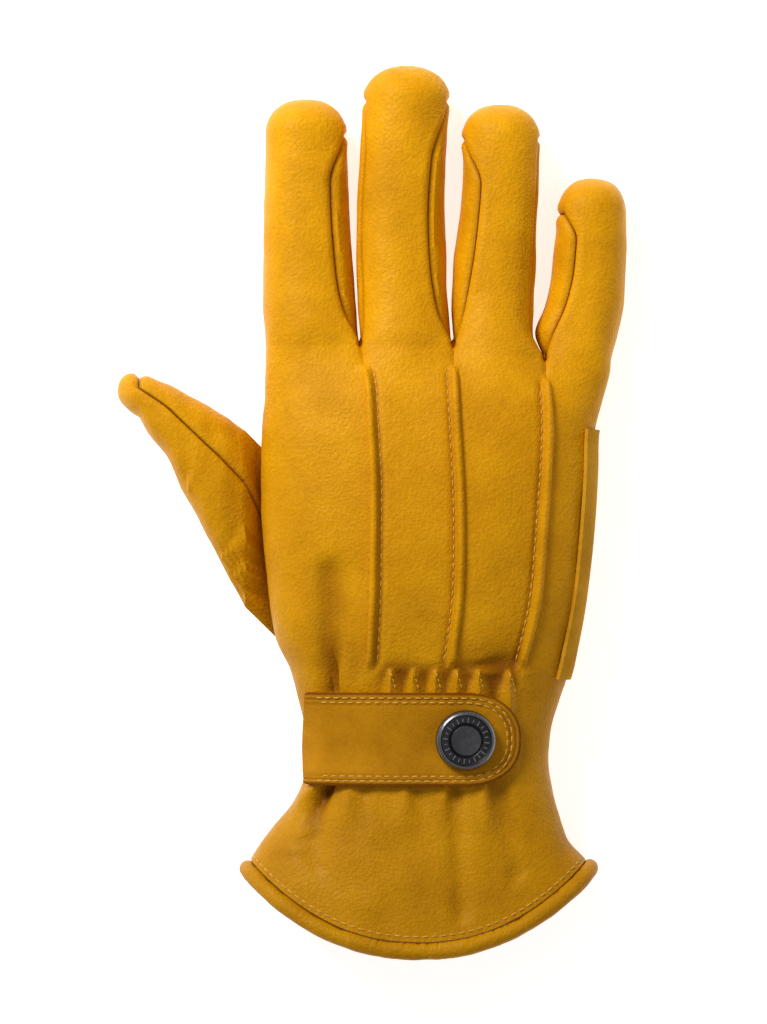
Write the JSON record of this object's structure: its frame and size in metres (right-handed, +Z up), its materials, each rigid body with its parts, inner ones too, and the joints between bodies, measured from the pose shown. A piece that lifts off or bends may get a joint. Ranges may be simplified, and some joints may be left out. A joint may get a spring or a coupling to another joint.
{
  "type": "motorcycle glove",
  "caption": "Short leather riding glove for the right hand with raised tucks on the back, fourchettes, a wrist strap with a snap and a rolled hem.",
  "frame": {"origin": "middle of the glove's box at the surface that it lies on", "axes": "+Y from the hem to the fingertips, +X from the thumb's side to the little finger's side, +Z up out of the back of the hand"},
  "size_m": [0.1424, 0.2488, 0.0393],
  "materials": {
    "leather": "soft grain",
    "suede": "suede",
    "nubuck": "matte nubuck",
    "metal": "dark nickel"
  },
  "bodies": {
    "root": {"back_panel": "leather", "palm_panel": "leather", "fourchette_index_middle": "leather", "fourchette_middle_ring": "leather", "fourchette_ring_little": "leather", "thumb_outer": "leather", "thumb_gusset": "leather", "hem_roll": "leather", "palm_patch": "suede", "wrist_strap": "nubuck", "snap_cap": "metal"}
  },
  "joints": []
}
